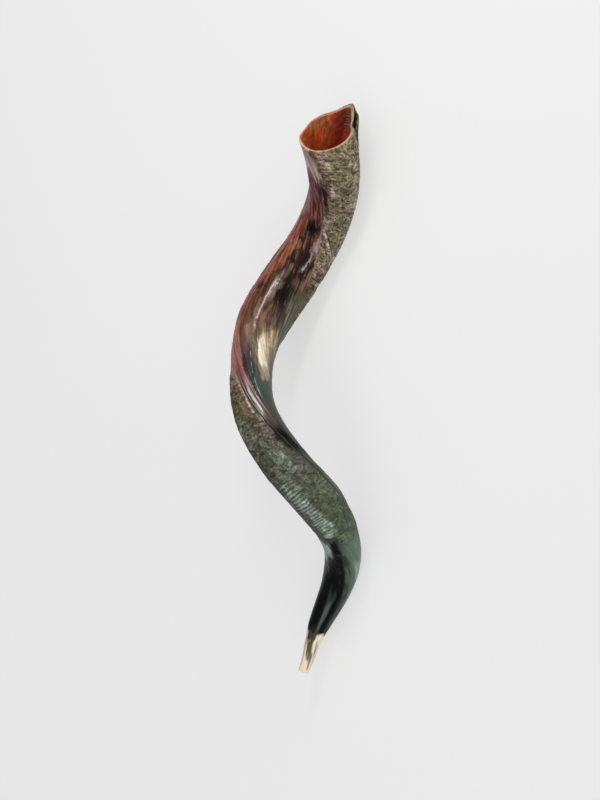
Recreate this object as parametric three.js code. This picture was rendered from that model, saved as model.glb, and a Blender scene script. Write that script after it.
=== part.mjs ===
// A Yemenite shofar: the horn of a greater kudu, cleared of its bony core, cut square at the bell and
// at the tip, drilled for a cup-shaped mouthpiece, and polished on one side only. Millimetres, +Z up.
//
// The horn is a left-handed corkscrew, and it lies on the outsides of two of its bends. The axis of the
// corkscrew runs along X, from the mouthpiece to the bell at +X. A place on the horn is given by its
// height, measured along that axis from the mouthpiece, and by its angle round the section there:
// 0 degrees faces away from the axis of the corkscrew, and 90 degrees faces the bell's end of it.
//
// A horn grows as a stack of cones. Each new one reaches up inside the one before and shows below it,
// so the wall parts on growth lines that slant through it. Rough crust covers the outer side of the
// spiral, and a sharp rib, the keel, runs between the crust and the polished side.

import * as THREE from "three";

// The horn's growth: how far it has turned about the axis of the corkscrew, in degrees, the distance
// of its middle line from that axis, and its mean radius outside.
const GROWTH = [
  { height: 0, turn: -70.5, coil: 34, radius: 6.8 },
  { height: 18, turn: -61.5, coil: 37, radius: 8.2 },
  { height: 47, turn: -54, coil: 45.5, radius: 11.5 },
  { height: 62, turn: -49, coil: 49.5, radius: 14.4 },
  { height: 109, turn: -27, coil: 60, radius: 20.5 },
  { height: 156, turn: 0, coil: 63, radius: 25 },
  { height: 272, turn: 95, coil: 60, radius: 26.6 },
  { height: 320, turn: 131, coil: 60, radius: 26.6 },
  { height: 385, turn: 179, coil: 56, radius: 30 },
  { height: 450, turn: 220, coil: 60, radius: 31 },
  { height: 523, turn: 268, coil: 57, radius: 31 },
  { height: 580, turn: 305, coil: 56, radius: 31.3 },
  { height: 660, turn: 360, coil: 53, radius: 35.5 },
  { height: 703, turn: 390, coil: 52, radius: 37.5 },
];

// The air's way: cup, throat, drilled bore, and the cavity that the bony core left.
const BORE = [
  { height: 0, radius: 5 },
  { height: 4, radius: 4.2 },
  { height: 9, radius: 3 },
  { height: 14, radius: 2.6 },
  { height: 60, radius: 3.4 },
  { height: 110, radius: 6 },
  { height: 160, radius: 14.5 },
  { height: 230, radius: 21 },
  { height: 385, radius: 25.2 },
  { height: 523, radius: 27.2 },
  { height: 600, radius: 28.6 },
  { height: 660, radius: 31.6 },
  { height: 703, radius: 34 },
];

// The section starts round at the tip and becomes an oval, longer across the spiral.
const OVAL = { rise: 0.1, from: 60, to: 240 };

// Towards the bell the keel draws the section out into a sharp corner, with a blunt one on the inside
// of the spiral and a flat beside the keel. Close to the rim the polished side swells, and so does the
// crust beside the keel. All that runs along the horn drifts round it by some degrees. The rim is cut in
// a plane that leans back on the outside of the spiral and forward at the keel.
const CORNERS = [
  { angle: 67.5, width: 12, rise: 16.5, boreWidth: 11, boreRise: 18.5, from: 440 },
  { angle: 180, width: 22, rise: 5, boreWidth: 22, boreRise: 5, from: 440 },
  { angle: 20, width: 28, rise: -6.5, boreWidth: 30, boreRise: -6.5, from: 440 },
  { angle: 122, width: 34, rise: 5.5, boreWidth: 34, boreRise: 5.5, from: 620 },
  { angle: 38, width: 36, rise: 7, boreWidth: 36, boreRise: 0, from: 674 },
];
const DRIFT = { by: 15, from: 440 };
const LEAN = { outward: -0.13, bellward: 0.2, from: 560 };

// There the crust stands off the wall, over a hollow that opens at the rim.
const HOLLOW = { angle: 30, width: 32, depth: 7, from: 660 };

// Vertices lie on one grid: rings along the horn, and sides round it. Growth lines and the edges of the
// crust and the keel are given in rings and in degrees that fall on it, so that the pieces nest.
const SIDES = 48;
const RINGS = 75;
const BELL = GROWTH.at(-1).height;
const RING = BELL / RINGS;

// Clearances: the skin over the wall, the growth lines measured along the height, and the keel's edge.
const SKIN_GAP = 0.3;
const LINE_GAP = 0.6;
const KEEL_GAP = 0.8;

const CONES = [
  { name: "mouthpiece_tip", from: 0, to: 6, finish: "ivory" },
  { name: "throat_sheath", from: 6, to: 19, finish: "polished" },
  { name: "lower_sheath", from: 19, to: 34, finish: "polished" },
  { name: "middle_sheath", from: 34, to: 50, finish: "polished" },
  { name: "upper_sheath", from: 50, to: 66, finish: "polished" },
  { name: "bell_sheath", from: 66, to: RINGS, finish: "polished" },
];

const CRUST = { low: -120, high: 60, thick: 1.3 };
const CRUSTS = [
  { name: "lower_crust", from: 19, to: 34 },
  { name: "middle_crust", from: 34, to: 50 },
  { name: "upper_crust", from: 50, to: 66 },
  { name: "bell_crust", from: 66, to: RINGS },
];

// The keel rises from a thin edge to its crest, and dies away over a few rings towards each end.
const KEEL = { low: 60, high: 75, from: 19, to: RINGS, edge: 0.6, crest: 3.6, fade: 6, least: 0.35 };

// How the horn lies: rolled about its length, then tipped until both bends touch the ground.
const ROLL = 38.74;
const TIP = -1.2;

const FINISHES = {
  ivory: { color: 0xe6cfa6, roughness: 0.35 },
  polished: { color: 0x2e2a24, roughness: 0.2 },
  crust: { color: 0x6b6650, roughness: 0.65 },
  keel: { color: 0x54403a, roughness: 0.3 },
};

const { degToRad, radToDeg, lerp, clamp, smoothstep } = THREE.MathUtils;

// A smooth curve through one column of a table. Its slope at a station is that of the line from the
// station before to the station after.
function through(table, column, height) {
  const last = table.length - 1;
  const below = clamp(table.findLastIndex((station) => station.height <= height), 0, last - 1);
  const slope = (index) => {
    const before = table[Math.max(index - 1, 0)];
    const after = table[Math.min(index + 1, last)];
    return (after[column] - before[column]) / (after.height - before.height);
  };
  const start = table[below];
  const end = table[below + 1];
  const span = end.height - start.height;
  const t = (height - start.height) / span;
  const blend = t * t * (3 - 2 * t);
  const swing = t * (1 - t) * (slope(below) * (1 - t) - slope(below + 1) * t);
  return lerp(start[column], end[column], blend) + span * swing;
}

function middleLine(height) {
  const turn = degToRad(through(GROWTH, "turn", height));
  const coil = through(GROWTH, "coil", height);
  return new THREE.Vector3(height, -coil * Math.cos(turn), coil * Math.sin(turn));
}

// How far the things that run along the horn have drifted round it, in radians.
function drift(height) {
  return degToRad(DRIFT.by * smoothstep(height, DRIFT.from, BELL));
}

// The point at a distance and an angle from the middle line, in the plane of the section. The plane is
// square to the middle line, except near the rim, where it leans.
function onSection(height, angle, distance) {
  const step = 0.5;
  const along = middleLine(height + step).sub(middleLine(height - step)).normalize();
  const turn = degToRad(through(GROWTH, "turn", height));
  const outward = new THREE.Vector3(0, -Math.cos(turn), Math.sin(turn));
  outward.addScaledVector(along, -outward.dot(along)).normalize();
  const bellward = along.clone().cross(outward);
  const out = distance * Math.cos(angle + drift(height));
  const up = distance * Math.sin(angle + drift(height));
  const lean = smoothstep(height, LEAN.from, BELL) * (LEAN.outward * out + LEAN.bellward * up);
  return middleLine(height)
    .addScaledVector(outward, out)
    .addScaledVector(bellward, up)
    .addScaledVector(along, lean);
}

function ovalness(height, angle) {
  const share = smoothstep(height, OVAL.from, OVAL.to);
  return 1 - OVAL.rise * share * Math.cos(2 * (angle + drift(height)));
}

// How far an angle in radians is from one in degrees, in degrees: a whole turn more is the same place.
function apart(angle, degrees) {
  const away = radToDeg(angle) - degrees;
  return away - 360 * Math.round(away / 360);
}

// How far the corners raise a surface of the wall.
function corners(height, angle, width, rise) {
  const heights = CORNERS.map((corner) => {
    const off = apart(angle, corner.angle) / corner[width];
    return (corner[rise] * smoothstep(height, corner.from, BELL)) / (1 + off * off);
  });
  return heights.reduce((sum, each) => sum + each);
}

function outerRadius(height, angle) {
  const mean = through(GROWTH, "radius", height);
  return mean * ovalness(height, angle) + corners(height, angle, "width", "rise");
}

function boreRadius(height, angle) {
  const mean = through(BORE, "radius", height);
  return mean * ovalness(height, angle) + corners(height, angle, "boreWidth", "boreRise");
}

function hollow(height, angle) {
  const off = apart(angle, HOLLOW.angle) / HOLLOW.width;
  return HOLLOW.depth * smoothstep(height, HOLLOW.from, BELL) * Math.max(1 - off * off, 0);
}

// Moves every vertex of a geometry to where the function says.
function reshape(geometry, place) {
  const position = geometry.getAttribute("position");
  const vertex = new THREE.Vector3();
  for (let index = 0; index < position.count; index++) {
    const moved = place(vertex.fromBufferAttribute(position, index));
    position.setXYZ(index, moved.x, moved.y, moved.z);
  }
  geometry.computeVertexNormals();
  return geometry;
}

// The heights of the rings from one to another. The first ring leaves a growth line's clearance.
function ringHeights(from, to) {
  const count = to - from + 1;
  const heights = Array.from({ length: count }, (_, index) => (from + index) * RING);
  if (from > 0) heights[0] += LINE_GAP;
  return heights;
}

// The rings of the first cone's inner surface, which starts with the stations of the cup.
function cupHeights(to) {
  const cup = BORE.filter((station) => station.height < 2 * RING).map((station) => station.height);
  return [...cup, ...ringHeights(0, to).slice(2)];
}

// A cone of the wall, made as a lathe of radius 1 + depth, where depth is 0 on the inner surface and
// 1 on the outer, and then wound into place. Its inner surface starts and ends a ring nearer the tip.
function cone({ from, to }) {
  const rings = ringHeights(from, to);
  const last = to === RINGS ? to : to - 1;
  const inside = from === 0 ? cupHeights(last) : ringHeights(from - 1, last);
  const profile = [
    ...rings.map((height) => new THREE.Vector2(2, height)),
    ...inside.reverse().map((height) => new THREE.Vector2(1, height)),
    new THREE.Vector2(2, rings[0]),
  ];
  return reshape(new THREE.LatheGeometry(profile, SIDES), ({ x, y: height, z }) => {
    const angle = Math.atan2(x, z);
    const depth = Math.hypot(x, z) - 1;
    const outside = outerRadius(height, angle) - hollow(height, angle);
    return onSection(height, angle, lerp(boreRadius(height, angle), outside, depth));
  });
}

// A strip of skin over the wall: a box, bent round the horn, whose x is the angle in degrees, whose y
// is the ring, and whose z tells the face on the wall from the face outside.
function strip({ from, to, low, high }, sides, thickness) {
  const box = new THREE.BoxGeometry(high - low, to - from, 1, sides, to - from, 1);
  box.translate((low + high) / 2, (from + to) / 2, 0.5);
  return reshape(box, ({ x: degrees, y: ring, z: lift }) => {
    const height = Math.max(ring * RING, from * RING + LINE_GAP);
    const angle = degToRad(degrees);
    const thick = lift * thickness(degrees, ring);
    return onSection(height, angle, outerRadius(height, angle) + SKIN_GAP + thick);
  });
}

function crust(band) {
  const { low, high, thick } = CRUST;
  const sides = (SIDES * (high - low)) / 360;
  return strip({ ...band, low, high: high - KEEL_GAP }, sides, () => thick);
}

function keel() {
  const middle = (KEEL.low + KEEL.high) / 2;
  return strip(KEEL, 2, (degrees, ring) => {
    const rise = 1 - Math.abs(degrees - middle) / (KEEL.high - middle);
    const end = Math.min(ring - KEEL.from, KEEL.to - ring) / KEEL.fade;
    return lerp(KEEL.edge, KEEL.crest * clamp(end, KEEL.least, 1), rise);
  });
}

function piece(name, finish, geometry) {
  const mesh = new THREE.Mesh(geometry, new THREE.MeshStandardMaterial(FINISHES[finish]));
  mesh.name = name;
  return mesh;
}

const horn = new THREE.Group();
CONES.forEach((band) => horn.add(piece(band.name, band.finish, cone(band))));
CRUSTS.forEach((band) => horn.add(piece(band.name, "crust", crust(band))));
horn.add(piece("spiral_keel", "keel", keel()));
horn.rotation.x = degToRad(ROLL);

const lying = new THREE.Group();
lying.add(horn);
lying.rotation.y = degToRad(TIP);

// The origin is on the ground, under the middle of the horn's box.
const shofar = new THREE.Group();
shofar.add(lying);
const box = new THREE.Box3().setFromObject(shofar, true);
const middle = box.getCenter(new THREE.Vector3());
lying.position.set(-middle.x, -middle.y, -box.min.z);

export default shofar;
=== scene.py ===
# The looks of a kudu-horn shofar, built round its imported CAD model. Lengths are in millimetres until a
# mesh is made, and then in metres. The part's own stations and sections are repeated here, so that each
# fine piece lies where the CAD node that it replaces lies.
#
# A place on the horn is a height along the axis of its corkscrew, from the mouthpiece, and an angle
# round the section in degrees: 0 faces away from that axis, and 90 faces the bell's end of it.

import math

import bpy
import numpy as np
from mathutils import Matrix, Vector


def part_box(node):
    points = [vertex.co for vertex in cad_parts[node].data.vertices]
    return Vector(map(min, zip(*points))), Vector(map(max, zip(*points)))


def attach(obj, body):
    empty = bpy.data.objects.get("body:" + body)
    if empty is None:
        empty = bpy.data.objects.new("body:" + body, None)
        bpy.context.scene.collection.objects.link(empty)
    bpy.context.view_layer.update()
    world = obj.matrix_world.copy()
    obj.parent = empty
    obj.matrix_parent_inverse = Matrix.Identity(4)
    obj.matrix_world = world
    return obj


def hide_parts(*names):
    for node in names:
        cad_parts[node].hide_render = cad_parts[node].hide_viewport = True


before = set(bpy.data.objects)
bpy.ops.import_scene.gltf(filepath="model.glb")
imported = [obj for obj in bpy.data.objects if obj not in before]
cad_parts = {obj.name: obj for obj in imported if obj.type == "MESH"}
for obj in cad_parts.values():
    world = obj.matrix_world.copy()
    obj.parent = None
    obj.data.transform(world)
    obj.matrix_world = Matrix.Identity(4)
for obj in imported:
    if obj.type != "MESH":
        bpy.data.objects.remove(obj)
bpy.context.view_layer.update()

MM = 0.001

# Columns: height, turn in degrees, distance of the middle line from the axis, mean radius outside.
GROWTH = np.array([
    (0, -70.5, 34, 6.8), (18, -61.5, 37, 8.2), (47, -54, 45.5, 11.5), (62, -49, 49.5, 14.4),
    (109, -27, 60, 20.5), (156, 0, 63, 25), (272, 95, 60, 26.6), (320, 131, 60, 26.6), (385, 179, 56, 30),
    (450, 220, 60, 31), (523, 268, 57, 31), (580, 305, 56, 31.3), (660, 360, 53, 35.5), (703, 390, 52, 37.5),
], float)
TURN, COIL, RADIUS = 1, 2, 3
# Columns: height, radius of the bore.
BORE = np.array([
    (0, 5), (4, 4.2), (9, 3), (14, 2.6), (60, 3.4), (110, 6), (160, 14.5), (230, 21), (385, 25.2),
    (523, 27.2), (600, 28.6), (660, 31.6), (703, 34),
], float)
OVAL_RISE, OVAL_FROM, OVAL_TO = 0.1, 60, 240
# The corners of the section at the bell: angle, the width in degrees and the rise of the outside, those
# of the bore, and the height from which they grow.
CORNERS = (
    (67.5, 12, 16.5, 11, 18.5, 440), (180, 22, 5, 22, 5, 440), (20, 28, -6.5, 30, -6.5, 440),
    (122, 34, 5.5, 34, 5.5, 620), (38, 36, 7, 36, 0, 674),
)
OUTSIDE, BORESIDE, GROWS_FROM = 1, 3, 5
# The hollow under the crust, beside the keel at the bell.
HOLLOW, HOLLOW_WIDTH, HOLLOW_DEPTH, HOLLOW_FROM = 30, 32, 7, 660
# Towards the bell, what runs along the horn drifts round it, and the planes of the sections lean.
DRIFT, DRIFT_FROM = 15, 440
LEAN_OUTWARD, LEAN_BELLWARD, LEAN_FROM = -0.13, 0.2, 560
SIDES, RINGS = 48, 75
BELL = GROWTH[-1, 0]
RING = BELL / RINGS
# How the horn lies: its turn round its own axis, and then the tilt of that axis, in degrees.
ROLL, TILT = 38.74, -1.2

# Node, first ring, last ring.
CONES = (
    ("mouthpiece_tip", 0, 6), ("throat_sheath", 6, 19), ("lower_sheath", 19, 34),
    ("middle_sheath", 34, 50), ("upper_sheath", 50, 66), ("bell_sheath", 66, 75),
)
CRUSTS = (
    ("lower_crust", 19, 34), ("middle_crust", 34, 50), ("upper_crust", 50, 66), ("bell_crust", 66, 75),
)
# The crust: the angles of its edges, its rise over the wall, and the height from which it lies there.
CRUST_LOW, CRUST_HIGH, CRUST_RISE, CRUST_FROM = -120, 54, 1.6, 184
# The first ring with a keel.
KEEL_FROM = 19
# The keel's ribs: angle, half width in degrees, rise and sharpness.
KEEL_RIBS = ((53.5, 3.2, 1.9, 1.0), (66.5, 11.5, 4.3, 1.5), (75, 5, 1.3, 1.2))

# What is worked into the surface. The mouthpiece's outer edge is rounded, and its ivory ends at a height.
TIP_ROUND, IVORY_END = 1.2, 51
# The groove beyond the keel: angle, half width in degrees and depth.
GROOVE, GROOVE_WIDTH, GROOVE_DEPTH = 79.5, 4.2, 0.9
# The saw marks in the bore's corner at the bell: angle, half width in degrees, pitch and how far down.
SAWN, SAWN_WIDTH, SAW_PITCH, SAWN_DOWN = 64.5, 7, 3, 27
# The rippled patch of the crust: the height and angle of its middle, its half sizes, and the pitch of
# its ripples. The glossy patch round it has the same middle and its own half sizes.
RIPPLED, RIPPLED_HALF, RIPPLE_PITCH = (230, -50), (38, 30), 4.1
GLOSSY_HALF = (50, 45)
# Stretches of the horn, as the heights at which something sets in, is full, begins to fade and is gone.
GROOVE_DULL = (200, 260, 425, 460)
KEEL_POLISHED = (368, 396, 440, 480)
CRUST_WIDE = (500, 560, 600, 630)


# ---------------------------------------------------------------- shape

def smoothstep(x, low, high):
    """Goes smoothly from 0 at low to 1 at high. Where low is the larger of the two, it falls with x."""
    t = np.clip((x - low) / (high - low), 0, 1)
    return t * t * (3 - 2 * t)


def within(height, sets_in, full, fades, gone):
    """1 on a stretch of the horn, rising before it and falling after it."""
    return smoothstep(height, sets_in, full) * (1 - smoothstep(height, fades, gone))


def hump(off):
    """1 at 0, and falling away smoothly on both sides of it."""
    return np.exp(-off * off)


def through(table, column, height):
    """A smooth curve through one column of a table, whose slope at a station is its neighbours'."""
    x, y = table[:, 0], table[:, column]
    slope = np.gradient(y, x, edge_order=1)
    slope[1:-1] = (y[2:] - y[:-2]) / (x[2:] - x[:-2])
    i = np.clip(np.searchsorted(x, height, side="right") - 1, 0, len(x) - 2)
    span = x[i + 1] - x[i]
    t = (height - x[i]) / span
    blend = t * t * (3 - 2 * t)
    swing = t * (1 - t) * (slope[i] * (1 - t) - slope[i + 1] * t)
    return y[i] + (y[i + 1] - y[i]) * blend + span * swing


def unit(v):
    """Vectors with their directions kept and their lengths made 1."""
    return v / np.linalg.norm(v, axis=-1, keepdims=True)


def middle_line(height):
    """The corkscrew: its axis is x, and the horn's middle winds round that."""
    turn = np.radians(through(GROWTH, TURN, height))
    coil = through(GROWTH, COIL, height)
    return np.stack([height, -coil * np.cos(turn), coil * np.sin(turn)], -1)


def drift(height):
    """How far what runs along the horn has turned round it, in degrees."""
    return DRIFT * smoothstep(height, DRIFT_FROM, BELL)


def on_section(height, angle, distance):
    """The points at angles and distances from the middle line, in the planes of the sections."""
    height, angle, distance = np.broadcast_arrays(height, angle, distance)
    along = unit(middle_line(height + 0.5) - middle_line(height - 0.5))
    turn = np.radians(through(GROWTH, TURN, height))
    outward = np.stack([0 * turn, -np.cos(turn), np.sin(turn)], -1)
    outward = unit(outward - along * (along * outward).sum(-1, keepdims=True))
    bellward = np.cross(along, outward)
    round_by = np.radians(angle + drift(height))
    out, up = distance * np.cos(round_by), distance * np.sin(round_by)
    lean = smoothstep(height, LEAN_FROM, BELL) * (LEAN_OUTWARD * out + LEAN_BELLWARD * up)
    return (
        middle_line(height) + outward * out[..., None] + bellward * up[..., None]
        + along * lean[..., None]
    )


def apart(angle, other):
    """The angle between two directions, from -180 to 180 degrees."""
    away = angle - other
    return away - 360 * np.round(away / 360)


def patch(height, angle, middle, half):
    """1 in the middle of a soft patch, falling away over its half sizes along the horn and round it."""
    return hump((height - middle[0]) / half[0]) * hump(apart(angle, middle[1]) / half[1])


def ovalness(height, angle):
    """The share of its mean radius that the section has, which is widest along the corkscrew's axis."""
    share = smoothstep(height, OVAL_FROM, OVAL_TO)
    return 1 - OVAL_RISE * share * np.cos(2 * np.radians(angle + drift(height)))


def corners(height, angle, side):
    """How far the corners raise the outside or the bore's side of the wall."""
    return sum(
        c[side + 1] * smoothstep(height, c[GROWS_FROM], BELL) / (1 + (apart(angle, c[0]) / c[side]) ** 2)
        for c in CORNERS)


def outer_radius(height, angle):
    """How far the wall's outside is from the middle line, before its relief."""
    return through(GROWTH, RADIUS, height) * ovalness(height, angle) + corners(height, angle, OUTSIDE)


def bore_radius(height, angle):
    """How far the bore's surface is from the middle line."""
    return through(BORE, 1, height) * ovalness(height, angle) + corners(height, angle, BORESIDE)


def hollow(height, angle):
    """How far the wall's outside lies under the crust, in the hollow beside the keel."""
    off = apart(angle, HOLLOW) / HOLLOW_WIDTH
    return HOLLOW_DEPTH * smoothstep(height, HOLLOW_FROM, BELL) * np.clip(1 - off * off, 0, 1)


def lying():
    """The turn and the shift that lay the horn on the ground, where the CAD nodes lie."""
    turn = np.array(Matrix.Rotation(math.radians(TILT), 3, "Y") @ Matrix.Rotation(math.radians(ROLL), 3, "X"))
    height = np.arange(RINGS + 1)[:, None] * RING
    angle = np.arange(SIDES)[None, :] * (360 / SIDES)
    wall = on_section(height, angle, outer_radius(height, angle) - hollow(height, angle)) @ turn.T
    packed = np.array([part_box(name)[0] for name, _, _ in CONES]).min(0) / MM
    return turn, packed - wall.reshape(-1, 3).min(0)


# ---------------------------------------------------------------- noise

def cell_value(x, y, z, seed):
    """A number from -1 to 1 for each cell of a grid, the same each time."""
    n = (x * 73856093) ^ (y * 19349663) ^ (z * 83492791) ^ (seed * 2654435761)
    n &= 0xFFFFFFFF
    n = ((n ^ (n >> 13)) * 1274126177) & 0xFFFFFFFF
    n ^= n >> 16
    return n / 0x7FFFFFFF - 1


def noise(points, size, seed):
    """Smooth noise from -1 to 1. size is the size of its grains along x, y and z, and seed picks one."""
    p = points / np.asarray(size, float)
    cell = np.floor(p).astype(np.int64)
    f = p - cell
    f = f * f * f * (f * (f * 6 - 15) + 10)
    total = 0
    for corner in range(8):
        step = [(corner >> k) & 1 for k in range(3)]
        weight = np.prod([f[..., k] if step[k] else 1 - f[..., k] for k in range(3)], axis=0)
        total = total + weight * cell_value(*(cell[..., k] + step[k] for k in range(3)), seed)
    return total


def layered(points, size, seed, layers=3):
    """Noise with finer noise in it, each layer half as coarse and half as strong as the last."""
    size = np.asarray(size, float)
    total = sum(noise(points, size / 2**k, seed + k) / 2**k for k in range(layers))
    return total / (2 - 2 ** (1 - layers))


# The length of the middle line from the mouthpiece up to each of many heights.
LENGTH_HEIGHTS = np.linspace(0, BELL, 1500)
LENGTH = np.concatenate([[0], np.cumsum(
    np.linalg.norm(np.diff(middle_line(LENGTH_HEIGHTS), axis=0), axis=1))])


def straight(height, angle):
    """Where a place would be if the horn were a straight one: patterns keep their scale there."""
    height, angle = np.broadcast_arrays(height, angle)
    radius = through(GROWTH, RADIUS, height)
    turn = np.radians(angle)
    along = np.interp(height, LENGTH_HEIGHTS, LENGTH)
    return np.stack([radius * np.cos(turn), radius * np.sin(turn), along], -1)


def unrolled(height, angle):
    """The same place on a flat sheet: length along the horn, length round it, and nothing."""
    height, angle = np.broadcast_arrays(height, angle)
    around = through(GROWTH, RADIUS, height) * np.radians(angle)
    return np.stack([np.interp(height, LENGTH_HEIGHTS, LENGTH), around, 0 * around], -1)


# ---------------------------------------------------------------- relief

# Creases in the crust: height and angle of each end, half width and depth.
CREASES = (
    (628, -118, 618, -40, 1.2, 1.2), (598, -138, 566, -104, 0.8, 1.1), (588, -143, 560, -116, 0.7, 0.8),
    (668, -112, 652, -84, 0.6, 0.7), (228, -42, 236, 4, 0.7, 0.8), (206, -62, 214, -14, 0.7, 0.7),
    (196, -20, 216, 16, 0.6, 0.7), (330, 20, 318, 46, 0.7, 0.7), (470, -60, 480, 20, 0.9, 0.8),
    (540, -130, 528, -70, 0.8, 0.8), (408, -70, 398, 10, 0.8, 0.8), (262, 10, 252, 52, 0.6, 0.7),
)


def wall_relief(height, angle):
    """Faint flutes along the polished wall, and the groove beyond the keel."""
    place = straight(height, angle)
    flutes = 0.22 * noise(place, (9, 9, 70), 11) + 0.10 * noise(place, (4, 4, 34), 12)
    swells = 0.16 * noise(place, (14, 14, 9), 13) + 0.05 * noise(place, (8, 8, 3.4), 14)
    growing = smoothstep(height, 70, 160)
    groove = hump(apart(angle, GROOVE) / GROOVE_WIDTH) * smoothstep(height, 200, 260)
    groove = groove * (1 - 0.8 * smoothstep(height, 430, 480))
    return (flutes + swells) * (0.25 + 0.75 * growing) - GROOVE_DEPTH * groove


def wall_dull(height, angle):
    """The wall is dull along a line that crosses the groove at a slant."""
    line = 80 + 0.22 * (height - 340)
    return 0.45 * hump(apart(angle, line) / 10) * within(height, *GROOVE_DULL)


def crease_depth(height, angle):
    """How deep the creases are at a place. Each is deepest in its middle, and wanders a little."""
    place = unrolled(height, angle)
    wander = noise(place, (5, 5, 1), 21) * 0.8
    depth = 0
    for h0, a0, h1, a1, width, deep in CREASES:
        start, end = unrolled(h0, a0), unrolled(h1, a1)
        span = end - start
        t = np.clip(((place - start) @ span) / (span @ span), 0, 1)
        off = np.linalg.norm(place - start - t[..., None] * span, axis=-1) + wander
        depth = depth + deep * hump(off / width) * np.clip(4 * t * (1 - t) + 0.25, 0, 1)
    return depth


def ripples(height, angle):
    """Fine growth ripples across the horn, strongest on the outer bend near the smooth end."""
    place = unrolled(height, angle)
    phase = place[..., 0] + 2.6 * noise(place, (16, 22, 1), 31) + 0.5 * noise(place, (4, 5, 1), 32)
    some = np.clip(noise(place, (24, 18, 1), 33) + 0.15, 0, 1) * smoothstep(height, 190, 240)
    broken = 0.75 + 0.6 * noise(place, (5, 9, 1), 34)
    strength = np.clip(broken * rippled(height, angle) + 0.4 * some, 0, 1)
    return np.sin(2 * np.pi * phase / RIPPLE_PITCH) * strength


def rippled(height, angle):
    """Where the ripples are strong and the bark is worn smooth between them."""
    return patch(height, angle, RIPPLED, RIPPLED_HALF)


def bark(height, angle):
    """The crust's relief, about -1 in its fissures and 1 on its plates."""
    place = unrolled(height, angle)
    bend = layered(place, (26, 18, 1), 41, 2)
    slant = place + np.stack([3.5 * bend, 2 * bend, 0 * bend], -1)
    slant[..., 0] += 0.22 * slant[..., 1]
    plates = 1 - 2.6 * np.abs(noise(slant, (3.4, 6.5, 1), 42))
    grains = 1 - 2.4 * np.abs(noise(slant, (2.0, 2.8, 1), 43))
    pits = noise(place, (1.4, 1.6, 1), 44)
    return np.clip(0.42 * plates + 0.42 * grains + 0.45 * pits, -1.2, 1)


def roughness_of_crust(height):
    """From smooth horn at the lower end to coarse bark towards the bell."""
    lower = smoothstep(height, 178, 300)
    return 0.12 + 0.63 * lower + 0.25 * smoothstep(height, 430, 560)


def crust_cover(height, angle):
    """1 where the crust lies, falling to 0 and below across its ragged edges. On the last bends the
    crust reaches further round, and where the keel is polished it stops short."""
    place = unrolled(height, angle)
    ragged = 5 * noise(place, (13, 13, 1), 51) + 3 * noise(place, (3.5, 6, 1), 52)
    wide = within(height, *CRUST_WIDE)
    low_edge = CRUST_LOW + 10 * (1 - smoothstep(height, 205, 240)) - 28 * wide
    low_edge = low_edge - 14 * smoothstep(height, 600, 630) + 6 * smoothstep(height, 660, BELL)
    polished = within(height, *KEEL_POLISHED)
    high_edge = CRUST_HIGH - 6 * smoothstep(height, 290, 340) - 56 * polished
    low = (apart(angle, 0) - low_edge + 1.4 * ragged) / (4 + 5 * wide)
    high = (high_edge - apart(angle, 0) + (0.35 + polished) * ragged) / 3
    bare = np.exp(-((apart(angle, -82) / 26) ** 4))
    end = (height - CRUST_FROM - 12 * bare - 0.7 * ragged) / (9 - 6 * bare)
    return np.clip(np.minimum(np.minimum(low, high), end), -1, 1)


def crust_height(height, angle):
    """The crust over the wall: bark, lumps and ripples, less the creases. Past its edges it dips under."""
    cover = crust_cover(height, angle)
    rough = roughness_of_crust(height)
    lumps = layered(unrolled(height, angle), (17, 12, 1), 61, 2)
    worn = 1 - 0.7 * rippled(height, angle)
    shape = rough * (0.62 * worn * bark(height, angle) + 0.45 * lumps) + 0.42 * ripples(height, angle)
    body = CRUST_RISE * (0.55 + 0.25 * rough) + shape - crease_depth(height, angle)
    return (body + 0.5) * smoothstep(cover, -0.3, 1) - 0.5


def crust_under(height, angle):
    """The crust's back: in the wall, but clear of it over the hollow."""
    return 1.3 * smoothstep(hollow(height, angle), 0, 0.8) - 1.0


def crust_dull(height, angle):
    """Glossy on the rippled bend and at the smooth end, and on the tops of the grains at the bell."""
    shine = patch(height, angle, RIPPLED, GLOSSY_HALF)
    some = smoothstep(noise(unrolled(height, angle), (9, 8, 1), 98), -0.3, 0.5)
    tops = smoothstep(bark(height, angle), 0.15, 0.7) * some * smoothstep(height, 380, 560)
    dull = 0.75 - 0.45 * shine - 0.3 * smoothstep(height, 250, 190) - 0.45 * tops
    return np.clip(dull, 0, 1)


def keel_height(height, angle):
    """The keel over the wall: a lip on the crust's side, a groove, the sharp crest and a low second
    rib, which all sink into the wall at the edges."""
    grown = np.clip((height / RING - KEEL_FROM) / 6, 0.1, 1) * (1 - 0.65 * smoothstep(height, 650, BELL))
    place = unrolled(height, angle)
    along = place * (1, 0, 0)
    wander = 1.2 * noise(along, (45, 1, 1), 71) + 0.4 * noise(along, (9, 1, 1), 72)
    nick = 0.25 * noise(place, (3.2, 1.6, 1), 73) + 0.3 * noise(place, (11, 4, 1), 74)
    total = -0.7
    for at, width, rise, power in KEEL_RIBS:
        away = np.abs(apart(angle, at + wander)) / width
        total = total + (rise + nick) * grown * np.clip(1 - away, 0, 1) ** power
    return total


def keel_under(height, angle):
    """The keel's back lies in the wall."""
    return 0 * height - 1.2


def keel_dull(height, angle):
    """The keel is polished all over."""
    return 0 * height


def sawn(height, angle):
    """Where the saw has marked the bore's corner, from the rim down."""
    down = smoothstep(BELL - height, SAWN_DOWN, SAWN_DOWN - 8)
    return np.exp(-(apart(angle, SAWN) / SAWN_WIDTH) ** 4) * down


def teeth(height, angle):
    """The ridges that the saw left, short and level, and not all alike."""
    strength = np.clip(0.75 + 0.6 * noise(unrolled(height, angle), (3, 9, 1), 99), 0, 1)
    return sawn(height, angle) * strength * np.clip(np.cos(2 * np.pi * height / SAW_PITCH), 0, 1)


# ---------------------------------------------------------------- colour

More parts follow.
